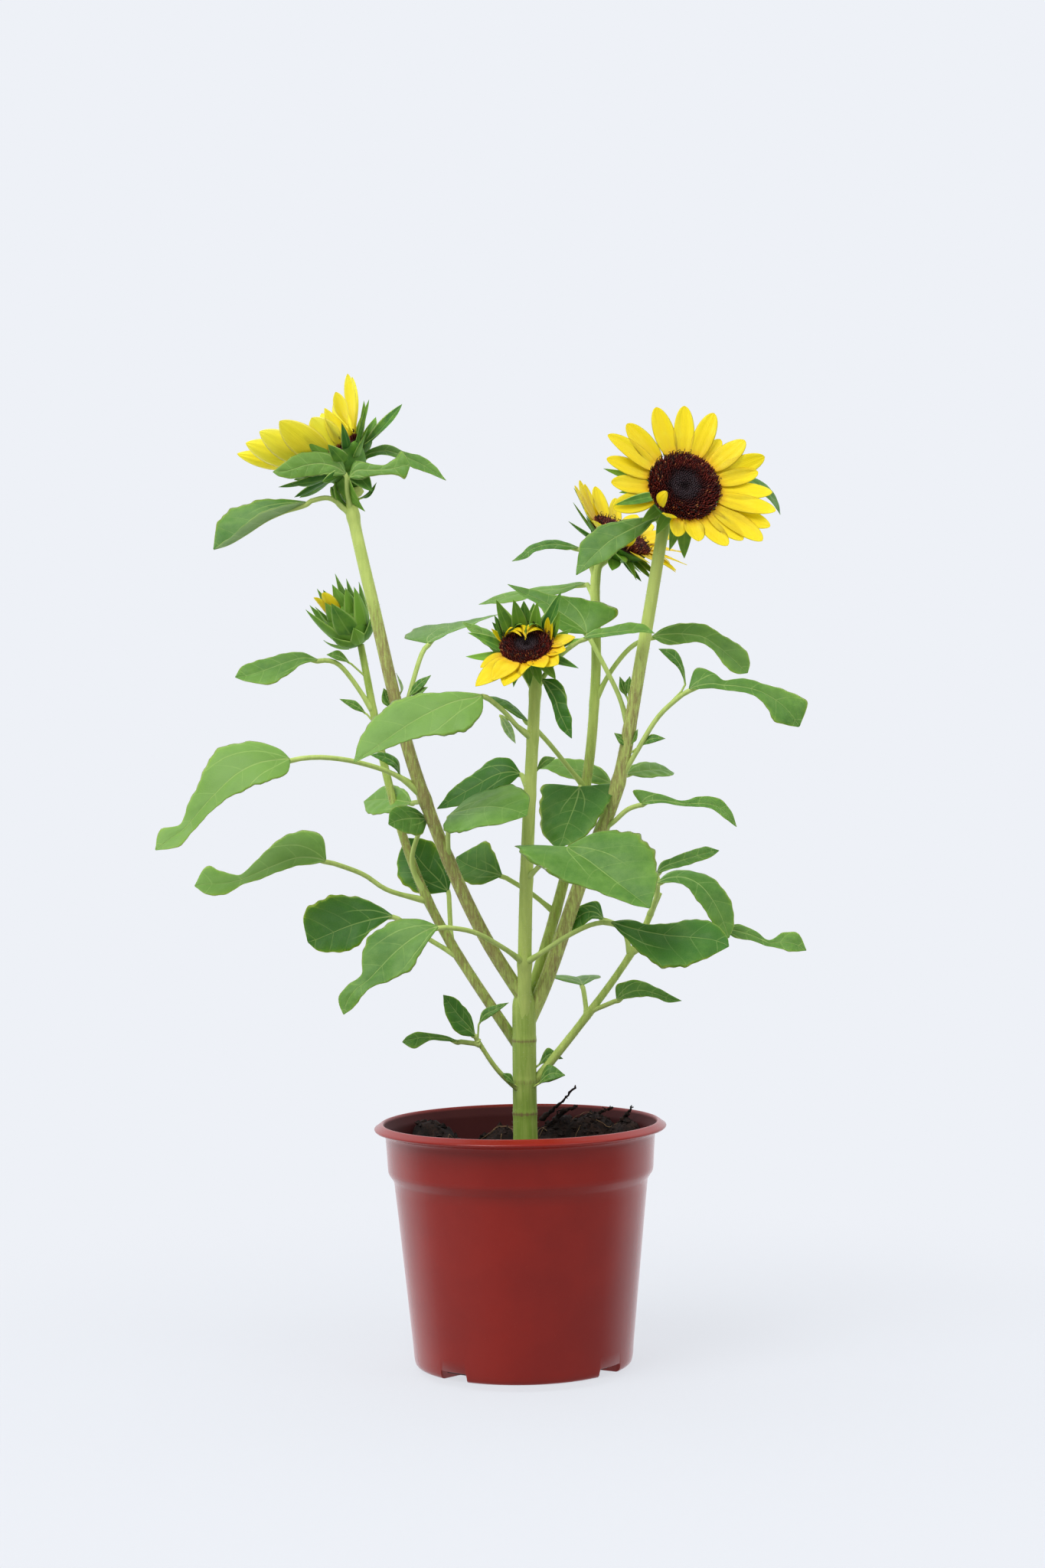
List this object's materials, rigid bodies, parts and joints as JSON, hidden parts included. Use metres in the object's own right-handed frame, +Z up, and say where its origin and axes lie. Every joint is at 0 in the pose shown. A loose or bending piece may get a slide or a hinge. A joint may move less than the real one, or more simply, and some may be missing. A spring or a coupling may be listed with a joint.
{
  "type": "potted sunflower plant",
  "caption": "Branching dwarf sunflower plant with open yellow blooms, a bud and broad leaves, in a round tapered nursery pot of compost.",
  "frame": {"origin": "centre of the pot's flat underside", "axes": "+Z up along the plant; -Y towards the front, the side that the blooms face; +X to the right seen from the front"},
  "size_m": [0.3713, 0.17, 0.5813],
  "materials": {
    "pot_plastic": "semi-gloss terracotta red",
    "compost": "damp, matt, nearly black",
    "stem": "matt yellow-green with fine white hairs and purple-brown flecks",
    "leaf": "soft satin mid-green with pale veins",
    "ray": "satin clear yellow",
    "disc": "matt dark red-brown, nearly black at the centre",
    "calyx": "matt mid-green"
  },
  "bodies": {
    "root": {"bud": "calyx", "compost": "compost", "head_back_right": "disc", "head_front": "disc", "head_tall_left": "disc", "head_tall_right": "disc", "leaf_back_right_1": "leaf", "leaf_back_right_2": "leaf", "leaf_back_right_3": "leaf", "leaf_back_right_4": "leaf", "leaf_back_right_5": "leaf", "leaf_back_right_6": "leaf", "leaf_bud_1": "leaf", "leaf_bud_2": "leaf", "leaf_bud_3": "leaf", "leaf_bud_4": "leaf", "leaf_bud_5": "leaf", "leaf_front_1": "leaf", "leaf_front_2": "leaf", "leaf_front_3": "leaf", "leaf_front_4": "leaf", "leaf_front_5": "leaf", "leaf_front_6": "leaf", "leaf_front_7": "leaf", "leaf_front_8": "leaf", "leaf_low_left_1": "leaf", "leaf_low_left_2": "leaf", "leaf_low_right_1": "leaf", "leaf_low_right_2": "leaf", "leaf_low_right_3": "leaf", "leaf_low_right_4": "leaf", "leaf_low_right_5": "leaf", "leaf_low_right_6": "leaf", "leaf_tall_left_1": "leaf", "leaf_tall_left_2": "leaf", "leaf_tall_left_3": "leaf", "leaf_tall_left_4": "leaf", "leaf_tall_left_5": "leaf", "leaf_tall_left_6": "leaf", "leaf_tall_left_7": "leaf", "leaf_tall_right_1": "leaf", "leaf_tall_right_2": "leaf", "leaf_tall_right_3": "leaf", "leaf_tall_right_4": "leaf", "leaf_tall_right_5": "leaf", "leaf_tall_right_6": "leaf", "leaf_tall_right_7": "leaf", "pot": "pot_plastic", "rays_back_right": "ray", "rays_front": "ray", "rays_tall_left": "ray", "rays_tall_right": "ray", "stem_back_right": "stem", "stem_bud": "stem", "stem_front": "stem", "stem_low_left": "stem", "stem_low_right": "stem", "stem_tall_left": "stem", "stem_tall_right": "stem", "stem_trunk": "stem"}
  },
  "joints": []
}
